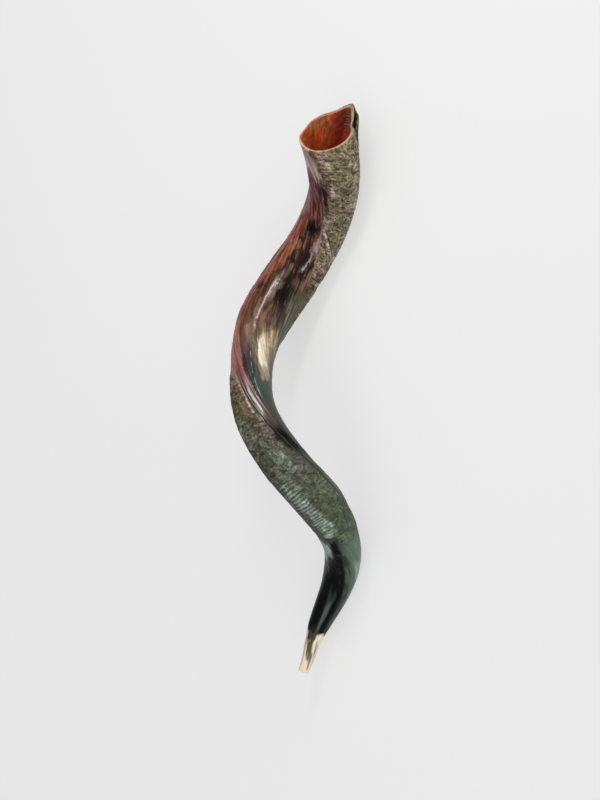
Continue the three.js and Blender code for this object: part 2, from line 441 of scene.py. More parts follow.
def rgb(code):
    """A colour from a hexadecimal code, made linear."""
    value = np.array([(code >> 16) & 255, (code >> 8) & 255, code & 255]) / 255
    return np.where(value <= 0.04045, value / 12.92, ((value + 0.055) / 1.055) ** 2.4)


def toward(colour, code, share):
    """The colour, moved by a share of the way toward the one that a code gives."""
    return colour + (rgb(code) - colour) * share[..., None]


# The polished wall from the mouthpiece to the bell: height and colour.
WALL_TINTS = (
    (0, 0xFFECD4), (49, 0xFAEED4), (53, 0x050605), (168, 0x060706), (200, 0x28302A), (290, 0x3C463C),
    (380, 0x434B40), (430, 0x5C4234), (500, 0x53382C), (600, 0x5C3A36), (703, 0x8A7470),
)
# Stains on the wall, in the order that they are laid: height, angle, half length, half width in
# degrees, slant in degrees a millimetre, colour, strength.
STAINS = (
    # the mouthpiece: a dark wedge up its upper side, and a tan streak beside it
    (42, -194, 10, 12, 0, 0x8E7E60, 0.6), (47, -168, 14, 30, 0, 0x26231A, 0.95),
    (31, -164, 10, 29, 0, 0x504A36, 0.94), (22, -152, 9, 26, -0.6, 0x625A44, 0.92),
    (16, -84, 16, 7, 0, 0x6E4C3C, 0.75), (12, -136, 9, 13, -0.8, 0x8E7E66, 0.85),
    (31, -114, 10, 11, -0.5, 0x8A7862, 0.75), (34, -103, 20, 4, 0.3, 0x8A7458, 0.6),
    (40, 60, 22, 16, 0, 0x5A4A30, 0.7), (30, 150, 20, 9, 0, 0x9A7650, 0.5),
    # the black lower bend: its grey-green outer side, partly a painted sheen, a dark line, and a band of
    # painted sheen on the black
    (130, -28, 84, 60, -0.1, 0x4C6254, 0.97), (84, -84, 34, 12, 0.2, 0x3A463E, 0.8),
    (112, -104, 62, 6, 0.3, 0x030504, 0.98), (84, -137, 34, 12, 0.1, 0x2C403A, 0.85),
    (106, -122, 12, 8, 0.2, 0x24322E, 0.7), (176, -138, 16, 22, 1.2, 0x9CAAA0, 0.96),
    (187, -114, 22, 25, 1.4, 0xA8B6AC, 0.98), (188, -81, 14, 14, 0, 0x040504, 0.98),
    (130, -22, 84, 36, -0.1, 0x8FA096, 0.8), (170, -92, 16, 9, 0.3, 0x040504, 0.95),
    (176, -30, 16, 44, 0, 0x586C5E, 0.9), (120, 130, 70, 50, 0, 0x1C241F, 0.6),
    # the green inner side of the middle bend
    (320, 112, 84, 44, 0, 0x3C483A, 0.95), (350, 165, 48, 42, 0, 0x4A5849, 0.8),
    (300, -150, 80, 46, 0, 0x353E36, 0.9), (322, 74, 16, 12, 0, 0x5A443A, 0.6),
    (372, 84, 34, 8, 0.6, 0x2A2E26, 0.9), (378, 38, 16, 16, 0, 0xAE8476, 0.9),
    (478, -158, 44, 38, 0, 0x475040, 0.97), (430, -140, 46, 28, 0, 0x4A5644, 0.9),
    # the red and brown side beyond the keel
    (434, 46, 46, 30, 0, 0xC08884, 0.95), (404, 58, 24, 12, 0, 0xAC6868, 0.9),
    (444, 70, 34, 12, 0, 0x9C6E5C, 0.8), (456, 84, 34, 11, 0.2, 0x8A5846, 0.9),
    (420, 88, 26, 10, 0.5, 0x6A443C, 0.9), (400, 93, 20, 7, 0.5, 0x40302A, 0.9),
    (434, 104, 26, 9, 0.4, 0x86705E, 0.8), (474, 102, 22, 13, 0.4, 0x664634, 0.9),
    (460, 116, 24, 7, 0.3, 0x7E6852, 0.8), (550, 102, 60, 10, 0.45, 0xD49C98, 0.85),
    (493, 92, 5, 20, 0, 0x2A1612, 0.95), (506, 104, 11, 18, 0, 0x7C3E32, 0.9),
    (522, 112, 14, 18, 1, 0x90583C, 0.9), (440, 131, 26, 5, 0.4, 0x4A321E, 0.9),
    (466, 143, 24, 8, 0.4, 0x745A42, 0.8), (480, 146, 22, 7, 0.5, 0x3A2A1E, 0.85),
    # the dark and the orange-brown band across the bend
    (508, 168, 44, 25, 0, 0x16130E, 0.97), (540, 150, 12, 9, 2, 0x40281A, 0.8),
    (538, 132, 22, 13, 0.8, 0x8E5038, 0.9), (556, 146, 12, 20, 1.5, 0x8E6444, 0.85),
    (470, 168, 16, 16, 0, 0x403626, 0.85), (486, 176, 12, 8, 0, 0x201C10, 0.8),
    (524, 176, 16, 10, 0.6, 0x1E1812, 0.8), (500, 148, 12, 7, 0.8, 0x5A5040, 0.7),
    (520, 152, 12, 7, 0.8, 0x54463A, 0.7), (552, 112, 16, 14, 1, 0x9C6258, 0.85),
    (570, 122, 9, 26, 3, 0x8A4E42, 0.75), (562, 160, 12, 16, 2.6, 0x6E5040, 0.8),
    (578, 134, 13, 18, 0.6, 0x94505A, 0.9), (594, 120, 16, 15, 1.5, 0xBC9490, 0.8),
    (586, 152, 9, 20, 3, 0x885444, 0.8), (606, 152, 13, 24, 1.5, 0x90605E, 0.85),
    (590, 170, 12, 13, 2, 0x62402A, 0.85), (572, 178, 10, 9, 0, 0x64503C, 0.7),
    (616, 172, 12, 16, 1, 0x7C5450, 0.8), (568, 170, 4, 20, 3, 0x1E120A, 0.7),
    (548, 176, 9, 10, 0, 0x30241C, 0.8),
    # the ivory patch
    (414, 140, 38, 34, 0.5, 0x8E8064, 0.75), (404, 130, 26, 17, 0.3, 0xE2D2B2, 0.97),
    (422, 152, 18, 30, 1.3, 0xD2BE9A, 0.95), (438, 168, 12, 14, 1.3, 0xB8A682, 0.85),
    (412, 127, 15, 10, 0.5, 0xFCF2E0, 0.9), (396, 126, 16, 7, 0.2, 0xF0E4CC, 0.8),
    (406, 154, 10, 13, 2, 0xA4947A, 0.6), (380, 124, 11, 12, 1, 0xA49078, 0.8),
    (432, 178, 12, 12, 0, 0xBEA988, 0.8), (430, -170, 18, 12, 0, 0x9A8C6C, 0.8),
    (414, 170, 9, 16, 0, 0x76664E, 0.6),
    # up to the bell, along the crust; the near-white at 692 mm, -166 degrees is a painted pale reflection
    (692, -166, 30, 18, 0, 0xF0DED8, 0.9), (678, -146, 26, 14, 0, 0xBCA6A0, 0.85),
    (660, -158, 10, 14, 0, 0x84706C, 0.8), (680, -126, 26, 8, 0, 0x8A7468, 0.8),
    (644, -164, 14, 14, -0.5, 0x744E52, 0.9), (644, -148, 15, 9, -0.4, 0x4A2234, 0.9),
    (636, -134, 26, 8, 0, 0x20140F, 0.96), (616, -172, 18, 14, -0.5, 0x481E18, 0.9),
    (624, -154, 13, 10, 0, 0x4C2A28, 0.85), (606, -160, 10, 14, 1, 0x50281E, 0.85),
    (589, -169, 17, 16, 0, 0x040303, 0.99), (574, -176, 10, 10, 0, 0x35231A, 0.7),
    (550, -170, 22, 13, 0, 0x1C1512, 0.96), (536, -152, 20, 9, 0.6, 0x281A14, 0.92),
    # The two slanted pale streaks at 568 and 548 mm are a painted highlight on the dark horn.
    (520, -146, 14, 12, 0, 0x4E4034, 0.9), (568, -152, 12, 6, 0.53, 0x9A8C88, 0.6),
    (548, -163, 18, 2.4, 0.53, 0xB4B2B0, 0.65), (572, -146, 10, 6, 0, 0x8A8076, 0.8),
    (540, -136, 18, 9, 0, 0x7C5E54, 0.8), (506, -170, 16, 13, 0, 0x2E2C22, 0.9),
    (500, -140, 14, 18, 0, 0x50503C, 0.8), (690, 140, 60, 34, 0, 0x846660, 0.8),
    (640, 110, 40, 26, 0, 0x74504A, 0.7), (644, 170, 26, 20, 0, 0x6C4A44, 0.7),
    (560, 80, 40, 16, 0, 0x6E4436, 0.7),
)
# The keel from its lower end to the bell: height and colour.
KEEL_TINTS = (
    (178, 0x4C584A), (250, 0x606A58), (272, 0x5A6052), (284, 0x2C2C26), (298, 0x181612), (308, 0x302822),
    (320, 0x6A5648), (332, 0xA48C7E), (344, 0xDCCAC0), (356, 0xD0B4AC), (368, 0xAA7C74), (384, 0x9A5C5C),
    (410, 0xA46C66), (450, 0xA46A64), (520, 0x985C58), (600, 0x704C46), (703, 0x6A6445),
)
# Stains on the keel. The near-white line at 342 mm, 61 degrees is a painted highlight by the crest.
KEEL_STAINS = (
    (330, 51, 34, 2.4, 0.05, 0x1C1410, 0.95), (354, 77, 34, 6, 0, 0x434A3C, 0.95),
    (388, 76, 14, 5, 0.2, 0x3A2620, 0.9), (386, 64, 16, 5, 0, 0xA05E60, 0.7),
    (428, 56, 32, 8, 0, 0xC89A92, 0.9), (436, 74, 24, 6, 0, 0x98705A, 0.8),
    (342, 67.5, 26, 3, 0, 0x5C3E38, 0.9), (342, 61, 20, 3.2, 0.06, 0xFFF8F2, 0.95),
    (318, 66, 10, 8, 0, 0x5A4A3C, 0.7), (470, 76, 20, 5, 0, 0x6E4634, 0.7),
)
# The crust from its lower end to the bell: height and colour.
CRUST_TINTS = (
    (178, 0x5C6C5E), (205, 0x4E5C46), (250, 0x4A523E), (300, 0x505240), (350, 0x5E583E), (400, 0x5E563E),
    (520, 0x6E654C), (600, 0x786C52), (660, 0x766C50), (703, 0x7E7256),
)
CRUST_STAINS = (
    # The pale grey-green patches at 242 mm and 216 mm, and at 281 mm, 8 degrees, are a painted sheen round
    # the rippled bend.
    (242, -52, 24, 17, 0, 0x93A396, 0.7), (216, -58, 13, 20, 0, 0x86978A, 0.75),
    (240, -76, 30, 10, 0, 0x707868, 0.5), (281, 8, 16, 17, 0, 0x7A8A7A, 0.55),
    (262, -32, 18, 18, 0, 0x6E7C6E, 0.6), (318, -38, 14, 14, 0, 0x848A78, 0.6),
    (328, -12, 20, 20, 0, 0x6E7460, 0.6), (335, 34, 34, 14, 0, 0x705A4C, 0.6),
    (352, -10, 20, 24, 0, 0x5C5234, 0.6), (268, 34, 10, 12, 0, 0x6E6062, 0.6),
    (300, -44, 14, 18, 0, 0x54503E, 0.5), (294, 50, 13, 10, 0, 0x0A0A08, 0.97),
    (224, 34, 34, 34, 0, 0x505C46, 0.65), (378, 28, 10, 24, 0, 0x7A6C56, 0.7),
    (362, 46, 16, 7, 0, 0x947466, 0.75), (346, 44, 24, 3, 0, 0xC4AC90, 0.8),
    (198, -74, 7, 18, 0, 0x2E3830, 0.8), (204, -72, 3, 14, 0, 0xA8B4A8, 0.6),
    # The pale mark at 600 mm, -138 degrees is a painted glint.
    (600, -138, 18, 7, 0, 0x9E9284, 0.7), (584, -132, 12, 6, -1.6, 0xC4ACA2, 0.7),
    (568, -106, 8, 14, -1.8, 0xAC948A, 0.6), (552, -120, 8, 18, -1.6, 0xA48C80, 0.6),
    (538, -122, 14, 16, 0, 0x8E7466, 0.6), (514, -120, 18, 20, 0, 0x6C6248, 0.8),
    (690, -118, 16, 10, 0, 0x64503C, 0.6), (668, -120, 16, 8, 0, 0x624C3A, 0.6),
    # The pale mark at 650 mm, -118 degrees is a painted glint.
    (694, -100, 12, 13, 0, 0xBCA492, 0.6), (650, -118, 12, 5, 0.4, 0xB8A898, 0.6),
    (600, -100, 20, 16, 0, 0x6E6650, 0.5), (650, -50, 44, 24, 0, 0x928C6C, 0.65),
    (590, -88, 30, 12, 0, 0x929080, 0.6), (560, -60, 60, 40, 0, 0x706E54, 0.5),
    (480, 10, 60, 40, 0, 0x5A523C, 0.5), (636, -64, 26, 12, 0, 0x9A9684, 0.6),
    # The near-black at 697 mm, 8 degrees is painted shade in the hollow under the crust, at the rim.
    (697, 8, 9, 22, 0, 0x261C12, 0.96), (664, -128, 34, 7, 0, 0x4A3A2C, 0.6),
    (626, -138, 14, 8, 0, 0x2E2018, 0.8),
)
# The bore, seen from the bell.
INSIDE = 0xC05226
INSIDE_STAINS = (
    (700, 124, 12, 26, 0, 0xC48048, 0.8), (668, 160, 26, 30, 0, 0xAE5426, 0.7),
    (650, 184, 44, 44, 0, 0xDC8C4C, 0.75), (690, 70, 30, 22, 0, 0xA03C28, 0.8),
    (660, 20, 60, 36, 0, 0xC84632, 0.85), (640, 60, 40, 30, 0, 0xBE482E, 0.7),
    (676, 96, 16, 10, 0, 0xC87048, 0.5), (650, 112, 20, 16, 0, 0x8E3A1E, 0.6),
    (620, 130, 30, 30, 0, 0xA0542C, 0.6), (600, -30, 80, 60, 0, 0x7E2014, 0.7),
    (690, -20, 14, 24, 0, 0x7C2018, 0.6), (692, 40, 16, 26, 0, 0x5E2218, 0.75),
    (680, 212, 40, 30, 0, 0xE09A58, 0.7),
)


def along_tints(tints, height):
    """The colour at a height, between those of the stations round it."""
    heights = [h for h, _ in tints]
    colours = np.array([rgb(code) for _, code in tints])
    return np.stack([np.interp(height, heights, colours[:, k]) for k in range(3)], -1)


def stained(colour, stains, height, angle, streak):
    """Lays soft stains over a colour. Their edges run out in streaks along the horn."""
    fray = layered(straight(height, angle), streak, 81, 3)
    for at, turn, length, width, slant, code, strength in stains:
        off = np.hypot((height - at) / length, apart(angle, turn + slant * (height - at)) / width)
        colour = toward(colour, code, smoothstep(1.2 - off + 0.5 * fray, 0, 0.6) * strength)
    return colour


def wandering(height, angle):
    """A place near by, for patterns that flow and fray as grown horn does."""
    place = straight(height, angle)
    grown = 0.25 + 0.75 * smoothstep(height, 180, 400)
    up = 6 * layered(place, (10, 10, 16), 91, 3) + 1.6 * noise(place, (1.6, 1.6, 3), 92)
    across = 7 * layered(place, (9, 9, 30), 93, 3) + 3.5 * noise(place, (1.6, 1.6, 9), 94)
    return height + up * grown, angle + across * grown


def wall_tint(height, angle):
    """The wall's colour. The ivory of the tip and the black above it meet in a ragged line."""
    place = straight(height, angle)
    ragged = 4 * noise(place, (3, 3, 40), 82) + 2 * noise(place, (1.2, 1.2, 20), 86)
    near = hump((height - IVORY_END) / 9)
    base = along_tints(WALL_TINTS, height + ragged * near)
    colour = stained(base, STAINS, *wandering(height, angle), (2.2, 2.2, 24))
    lively = smoothstep(height, 380, 460)
    return enriched(streaked(colour, place, lively), lively)


def streaked(colour, place, lively):
    """Dark bands, pale streaks, fibres and mottling along the wall, strong where it is lively."""
    bands = noise(place, (2.6, 2.6, 36), 97) * lively
    leather = layered(place, (1.5, 1.5, 2.2), 87, 3) * lively
    fibres = layered(place, (1.0, 1.0, 14), 88, 2) * (0.3 + 0.7 * lively)
    pale = np.clip(noise(place, (1.3, 1.3, 18), 90) - 0.2, 0, 1) * lively
    pale = pale * smoothstep(colour.mean(-1), 0.004, 0.03)
    colour = colour * (1 + 0.5 * leather + 0.45 * fibres + 0.5 * bands)[..., None]
    colour = toward(colour, 0x561A18, 0.8 * np.clip(-bands - 0.15, 0, 1))
    return toward(colour, 0xC0948C, 0.6 * pale)


def enriched(colour, lively):
    """The colour with fuller hues and deeper darks, where the wall is lively."""
    lively = lively[..., None]
    grey = colour.mean(-1, keepdims=True)
    colour = grey + (colour - grey) * (1 + 0.22 * lively)
    return colour * (1 - 0.4 * lively * (1 - smoothstep(grey, 0.01, 0.06)))


def crust_tint(height, angle):
    """The crust's colour: mottled, with painted shade in its fissures and creases, and painted light on its
    plates, on the crests of its ripples and, as paler glints, on the tops of its plates.
    """
    colour = stained(along_tints(CRUST_TINTS, height), CRUST_STAINS, *wandering(height, angle), (4, 4, 6))
    place = unrolled(height, angle)
    colour = colour * (1 + 0.6 * layered(place, (5, 6, 1), 83, 3))[..., None]
    rust = np.clip(noise(place, (3, 4, 1), 84) - 0.05, 0, 1)
    colour = toward(colour, 0x5C4030, 0.7 * rust * (0.25 + 0.75 * smoothstep(height, 320, 440)))
    lift = bark(height, angle)
    rough = roughness_of_crust(height)
    depth = (0.2 + 0.8 * rough) * (1 - 0.75 * rippled(height, angle))
    # Painted shade and light: the colour is darkened in the bark's fissures and the ripples' troughs, and
    # lightened on its plates and the ripples' crests.
    shade = 1 + 0.95 * depth * np.clip(lift, -0.85, 1) + 0.75 * ripples(height, angle)
    colour = colour * np.clip(shade, 0.06, None)[..., None]
    # Painted glints: the tops of some plates are made paler.
    worn = smoothstep(lift, 0.35, 0.75) * rough * smoothstep(noise(place, (6, 7, 1), 95), -0.2, 0.6)
    colour = toward(colour, 0xD6C2B0, 0.42 * worn)
    # Painted shade in the creases.
    return toward(colour, 0x1E1610, 0.9 * np.clip(crease_depth(height, angle), 0, 1))


def keel_tint(height, angle):
    """The keel's colour, with painted shade between its ribs."""
    colour = stained(along_tints(KEEL_TINTS, height), KEEL_STAINS, height, angle, (1.2, 1.2, 24))
    streaks = layered(straight(height, angle), (1.2, 1.2, 24), 85, 3)
    # Painted shade: the keel is made darker where it is low, between its ribs.
    lift = smoothstep(keel_height(height, angle), -0.2, 1.6)
    deepest_painted_shade = 0.35 + 0.3 * smoothstep(height, 430, 480)
    return colour * ((1 + 0.7 * streaks) * (deepest_painted_shade + (1 - deepest_painted_shade) * lift))[..., None]


def bore_tint(height, angle):
    """The bore's colour: red-brown at the bell, with painted shade further in, and tan in the mouthpiece's
    cup.
    """
    base = np.broadcast_to(rgb(INSIDE), (*np.shape(height), 3))
    colour = stained(base, INSIDE_STAINS, height, angle, (4, 4, 8))
    # Painted shade: the bore darkens towards its inside.
    colour = toward(colour, 0x1C0A06, smoothstep(height, 560, 300))
    colour = toward(colour, 0xC79A6A, smoothstep(height, 30, 2))
    place = straight(height, angle)
    blots = 0.45 * layered(place, (5, 5, 7), 89, 3) + 0.35 * noise(place, (2.2, 2.2, 3), 96)
    colour = colour * (0.9 + blots)[..., None]
    colour = toward(colour, 0x521410, 0.7 * sawn(height, angle))
    return toward(colour, 0xF0C4B8, teeth(height, angle))


def rim_tint(angle, depth):
    """The cut face at the bell: pink cream at its outer edge and red at the bore, and olive along the
    crust below the keel."""
    olive = smoothstep(apart(angle, 20), -75, -20) * smoothstep(apart(angle, 20), 62, 50)
    # The olive's shift is measured from a slightly cooler cream than the face's own.
    face = rgb(0xEACCB6) + (rgb(0x988A70) - rgb(0xE6C8B8)) * olive[..., None]
    return toward(face, 0xA84A30, 0.85 * smoothstep(depth, 0.75, 0.35) * (1 - 0.8 * olive))


# ---------------------------------------------------------------- meshes

# The meshes' fineness: the steps along the horn on the wall's outer side, in the bore, in the bell and
# over the saw marks, and the sharpest bend in degrees that is still shaded smooth.
OUTER_STEP, INNER_STEP, BELL_STEP, SAWN_STEP, SHARP = 1.3, 2.6, 1.6, 0.7, 62
COLUMNS, TIP_COLUMNS, BELL_COLUMNS = 150, 96, 300
# The cup has finer rows, from the mouthpiece's end to just past the throat.
CUP_ROWS_TO = 16
# How far the saw's ridges stand out, and how far the bell's cut face falls away at its rims.
SAW_RISE, RIM_EASE = 0.9, 0.9
BORE_DULL, RIM_DULL = 0.1, 0.5
# The cut face at the mouthpiece.
TIP_FACE = 0xE6C49C


def grid_faces(rows, columns, closed_rows):
    """Quads over a grid that is closed round its columns, and round its rows if it is a ring."""
    r = np.arange(rows if closed_rows else rows - 1)
    c = np.arange(columns)
    r, c = np.meshgrid(r, c, indexing="ij")
    r1, c1 = (r + 1) % rows, (c + 1) % columns
    quads = [r * columns + c, r * columns + c1, r1 * columns + c1, r1 * columns + c]
    return np.stack(quads, -1).reshape(-1, 4)


def strip_caps(rows, columns):
    """The quads that close both ends of a strip, whose rows go out along it and back beneath it."""
    half = columns // 2
    c = np.arange(half - 1)
    start = np.stack([c, columns - 1 - c, columns - 2 - c, c + 1], -1)
    return np.concatenate([start, start[:, ::-1] + (rows - 1) * columns])


def make_piece(node, faces, height, angle, points, tint, dull, slot):
    """A smooth mesh object that stands for a CAD node, with what its material reads from it."""
    turn, shift = LYING
    vertices = (points.reshape(-1, 3) @ turn.T + shift) * MM
    # The horn lies on the ground, and nothing on it reaches lower.
    vertices[:, 2] = np.maximum(vertices[:, 2], 0)
    mesh = make_mesh(node + "_fine", vertices, faces)
    colours = np.concatenate([tint.reshape(-1, 3), np.ones((len(vertices), 1))], 1)
    store(mesh, "tint", "FLOAT_COLOR", "color", np.clip(colours, 0, 1))
    store(mesh, "dull", "FLOAT", "value", dull)
    store(mesh, "straight", "FLOAT_VECTOR", "vector", straight(height, angle) * MM)
    mesh.materials.append(MATERIALS[slot])
    piece = bpy.data.objects.new(node + "_fine", mesh)
    bpy.context.scene.collection.objects.link(piece)
    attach(piece, "root")
    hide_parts(node)


def make_mesh(name, vertices, faces):
    """A mesh of quads, smooth but for its sharp edges."""
    mesh = bpy.data.meshes.new(name)
    mesh.vertices.add(len(vertices))
    mesh.vertices.foreach_set("co", vertices.astype(np.float32).ravel())
    mesh.loops.add(faces.size)
    mesh.loops.foreach_set("vertex_index", faces.astype(np.int32).ravel())
    mesh.polygons.add(len(faces))
    mesh.polygons.foreach_set("loop_start", np.arange(0, faces.size, 4, dtype=np.int32))
    mesh.update(calc_edges=True)
    mesh.shade_smooth()
    mesh.set_sharp_from_angle(angle=math.radians(SHARP))
    return mesh


def store(mesh, name, kind, field, values):
    """Keeps a value for each vertex on the mesh."""
    mesh.attributes.new(name, kind, "POINT").data.foreach_set(field, values.astype(np.float32).ravel())


def heights_between(low, high, step):
    """Heights from one to the other, a little closer together than the step."""
    return np.linspace(low, high, max(2, round(abs(high - low) * 1.25 / step) + 1))


def cone_rows(first, last):
    """The heights of a cone's rows, out along its outer side, over its end and back along the bore,
    and their depths: 1 on the outer side, 0 at the bore, and between these on an end's face."""
    low, high = first * RING, last * RING
    at_tip, at_bell = first == 0, last == RINGS
    outside = heights_between(low, high, OUTER_STEP)
    back_from, step = (high, BELL_STEP) if at_bell else (high - RING, INNER_STEP)
    inside = heights_between(back_from, max(low - RING, 0), step)
    # Finer rows take the place of those that they would nearly touch.
    if at_bell:
        saw_rows = heights_between(high, high - SAWN_DOWN, SAWN_STEP)
        inside = np.concatenate([saw_rows, inside[inside < high - SAWN_DOWN - 0.5]])
    if at_tip:
        outside = np.concatenate([np.linspace(0, TIP_ROUND, 6), outside[outside > TIP_ROUND + 0.3]])
        inside = np.concatenate([inside[inside > CUP_ROWS_TO], np.linspace(CUP_ROWS_TO, 0, 30)])
    face = np.linspace(0, 1, 9)[1:-1]
    end = face if at_bell else face[:0]
    start = face if at_tip else face[:0]
    height = np.concatenate([outside, 0 * end + high, inside, 0 * start])
    depth = np.concatenate([0 * outside + 1, 1 - end, 0 * inside, start])
    return height, depth


def cone(node, first, last, slot):
    """A cone of the wall, as one closed skin."""
    rows, depths = cone_rows(first, last)
    at_tip, at_bell = first == 0, last == RINGS
    columns = TIP_COLUMNS if at_tip else BELL_COLUMNS if at_bell else COLUMNS
    height, angle = np.meshgrid(rows, np.arange(columns) * (360 / columns), indexing="ij")
    depth = np.broadcast_to(depths[:, None], height.shape)
    outer = outer_radius(height, angle) - hollow(height, angle) + wall_relief(height, angle)
    outer = outer - TIP_ROUND * (1 - np.sqrt(1 - np.clip(1 - height / TIP_ROUND, 0, 1) ** 2))
    inner = bore_radius(height, angle) - SAW_RISE * teeth(height, angle)
    # The cut face at the bell is eased: it falls away towards its rims.
    ease = RIM_EASE * (np.abs(2 * depth - 1) ** 5) * ((height == last * RING) & at_bell)
    points = on_section(height - ease, angle, inner + (outer - inner) * depth)
    skin, bore = depth == 1, depth == 0
    tint = np.where(skin[..., None], wall_tint(height, angle), rim_tint(angle, depth))
    tint = np.where((bore & (height < BELL - 0.1))[..., None], bore_tint(height, angle), tint)
    if at_tip:
        tint = np.where(((height == 0) & ~skin)[..., None], rgb(TIP_FACE), tint)
    dull = np.where(skin, wall_dull(height, angle), np.where(bore, BORE_DULL, RIM_DULL))
    make_piece(node, grid_faces(*height.shape, True), height, angle, points, tint, dull, slot)


def strip(node, first, last, low, high, columns, step, top, under, tint, dull, slot):
    """A strip of skin over the wall: out across its outer face, and back beneath it."""
    rows = heights_between(first * RING, last * RING, step)
    across = np.linspace(low, high, columns)
    height, angle = np.meshgrid(rows, np.concatenate([across, across[::-1]]), indexing="ij")
    outside = np.arange(2 * columns) < columns
    lift = np.where(outside, top(height, angle), under(height, angle))
    points = on_section(height, angle, outer_radius(height, angle) + lift)
    faces = np.concatenate([grid_faces(*height.shape, False), strip_caps(*height.shape)])
    make_piece(node, faces, height, angle, points, tint(height, angle), dull(height, angle), slot)


# ---------------------------------------------------------------- materials

HORN_IOR = 1.5
# The floor's glow, which keeps it near white.
FLOOR_GLOW = 0.555


def new_material(name):
    """A node material, its tree and its shader."""
    material = bpy.data.materials.new(name)
    material.use_nodes = True
    tree = material.node_tree
    return material, tree, tree.nodes["Principled BSDF"]


def add_node(tree, kind, inputs=(), **settings):
    """A shader node, whose inputs are linked to sockets or set to values."""
    node = tree.nodes.new("ShaderNode" + kind)
    for name, value in settings.items():
        setattr(node, name, value)
    for socket, value in inputs:
        if isinstance(value, bpy.types.NodeSocket):
            tree.links.new(value, node.inputs[socket])
        else:
            node.inputs[socket].default_value = value
    return node


def attribute(tree, name, output):
    """What the mesh keeps under a name."""
    return add_node(tree, "Attribute", attribute_name=name, attribute_type="GEOMETRY").outputs[output]


def grain(tree, stretch, scale, detail):
    """Noise in the straight horn's space, drawn out along the horn."""
    place = attribute(tree, "straight", "Vector")
    drawn = add_node(tree, "Mapping", [("Vector", place), ("Scale", (1, 1, 1 / stretch))]).outputs[0]
    return add_node(tree, "TexNoise", [("Vector", drawn), ("Scale", scale), ("Detail", detail),
                                       ("Roughness", 0.6)]).outputs["Fac"]


def spread(tree, value, low, high, to_low, to_high):
    """The value, with its range from low to high spread over another range."""
    return add_node(tree, "MapRange", [("Value", value), ("From Min", low), ("From Max", high),
                                       ("To Min", to_low), ("To Max", to_high)]).outputs["Result"]


def scaled(tree, colour, factor):
    """The colour times a factor that varies over the surface."""
    return add_node(tree, "VectorMath", [(0, colour), (1, factor)], operation="MULTIPLY").outputs["Vector"]


def plus(tree, a, b):
    return add_node(tree, "Math", [(0, a), (1, b)], operation="ADD").outputs[0]


def relief(tree, shader, height, distance, strength):
    """The finest relief, which only the light shows."""
    bump = add_node(tree, "Bump", [("Height", height), ("Distance", distance), ("Strength", strength)])
    tree.links.new(bump.outputs["Normal"], shader.inputs["Normal"])


def polished_horn(name, rough, streaks, coat):
    """Polished horn: streaks along its fibres in the colour, the gloss and the surface."""
    material, tree, shader = new_material(name)
    fibres = grain(tree, stretch=14, scale=420, detail=4)
    bands = grain(tree, stretch=7, scale=130, detail=3)
    shade = spread(tree, plus(tree, fibres, bands), 0.65, 1.35, 1 - streaks, 1 + streaks)
    tint = attribute(tree, "tint", "Color")
    tree.links.new(scaled(tree, tint, shade), shader.inputs["Base Color"])
    dull = attribute(tree, "dull", "Fac")
    swells = grain(tree, stretch=3, scale=90, detail=2)
    smooth = spread(tree, swells, 0.3, 0.7, rough * 0.7, rough * 1.4)
    tree.links.new(plus(tree, smooth, dull), shader.inputs["Roughness"])
    shader.inputs["IOR"].default_value = HORN_IOR
    shader.inputs["Coat Weight"].default_value = coat
    shader.inputs["Coat Roughness"].default_value = 0.12
    pores = grain(tree, stretch=2, scale=240, detail=3)
    relief(tree, shader, plus(tree, fibres, pores), distance=0.0005, strength=0.3)
    return material


def crusted_horn(name):
    """Weathered bark: speckled, dull in the fissures and worn smoother on top."""
    material, tree, shader = new_material(name)
    specks = grain(tree, stretch=1, scale=900, detail=4)
    fibres = grain(tree, stretch=0.45, scale=420, detail=4)
    shade = spread(tree, plus(tree, specks, fibres), 0.7, 1.3, 0.5, 1.55)
    tint = attribute(tree, "tint", "Color")
    tree.links.new(scaled(tree, tint, shade), shader.inputs["Base Color"])
    dull = attribute(tree, "dull", "Fac")
    rough = plus(tree, spread(tree, specks, 0.3, 0.7, -0.1, 0.12), dull)
    tree.links.new(rough, shader.inputs["Roughness"])
    shader.inputs["IOR"].default_value = HORN_IOR
    relief(tree, shader, plus(tree, specks, fibres), distance=0.0006, strength=0.5)
    return material


def floor_material():
    """Pale matt paper, faintly mottled, with a glow that keeps it near white."""
    material, tree, shader = new_material("pale_floor")
    place = add_node(tree, "TexCoord").outputs["Object"]
    mottle = add_node(tree, "TexNoise", [("Vector", place), ("Scale", 3.0)]).outputs["Fac"]
    tree.links.new(spread(tree, mottle, 0, 1, 0.33, 0.34), shader.inputs["Base Color"])
    shader.inputs["Emission Color"].default_value = (1, 1, 1, 1)
    shader.inputs["Emission Strength"].default_value = FLOOR_GLOW
    shader.inputs["Roughness"].default_value = 0.9
    shader.inputs["Specular IOR Level"].default_value = 0.0
    return material


# ---------------------------------------------------------------- stage

# The camera's place along the corkscrew's axis, beside it and off it, and its lens and sensor.
CAMERA_AT = (358.8, -7.15, 2200)
LENS, SENSOR = 76.15, 36
# The softboxes face a point over the floor, from this far away, in metres.
SOFTBOXES_FACE, SOFTBOXES_AWAY = (0, 0, 0.08), 1.8


def in_row(right, toward_camera, up):
    """A direction that is given as seen from the camera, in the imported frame."""
    turn, _ = LYING
    return Vector(turn @ np.array([up, -right, toward_camera]))


def make_camera():
    """Looks down at the horn at a slant, square to the corkscrew's axis, with the bell up."""
    data = bpy.data.cameras.new("camera")
    data.lens, data.sensor_width = LENS, SENSOR
    camera = bpy.data.objects.new("camera", data)
    bpy.context.scene.collection.objects.link(camera)
    turn, shift = LYING
    axes = Matrix((in_row(1, 0, 0), in_row(0, 0, 1), in_row(0, 1, 0))).transposed()
    place = (Vector(turn @ np.array(CAMERA_AT)) + Vector(shift)) * MM
    camera.matrix_world = Matrix.Translation(place) @ axes.to_4x4()
    bpy.context.scene.camera = camera


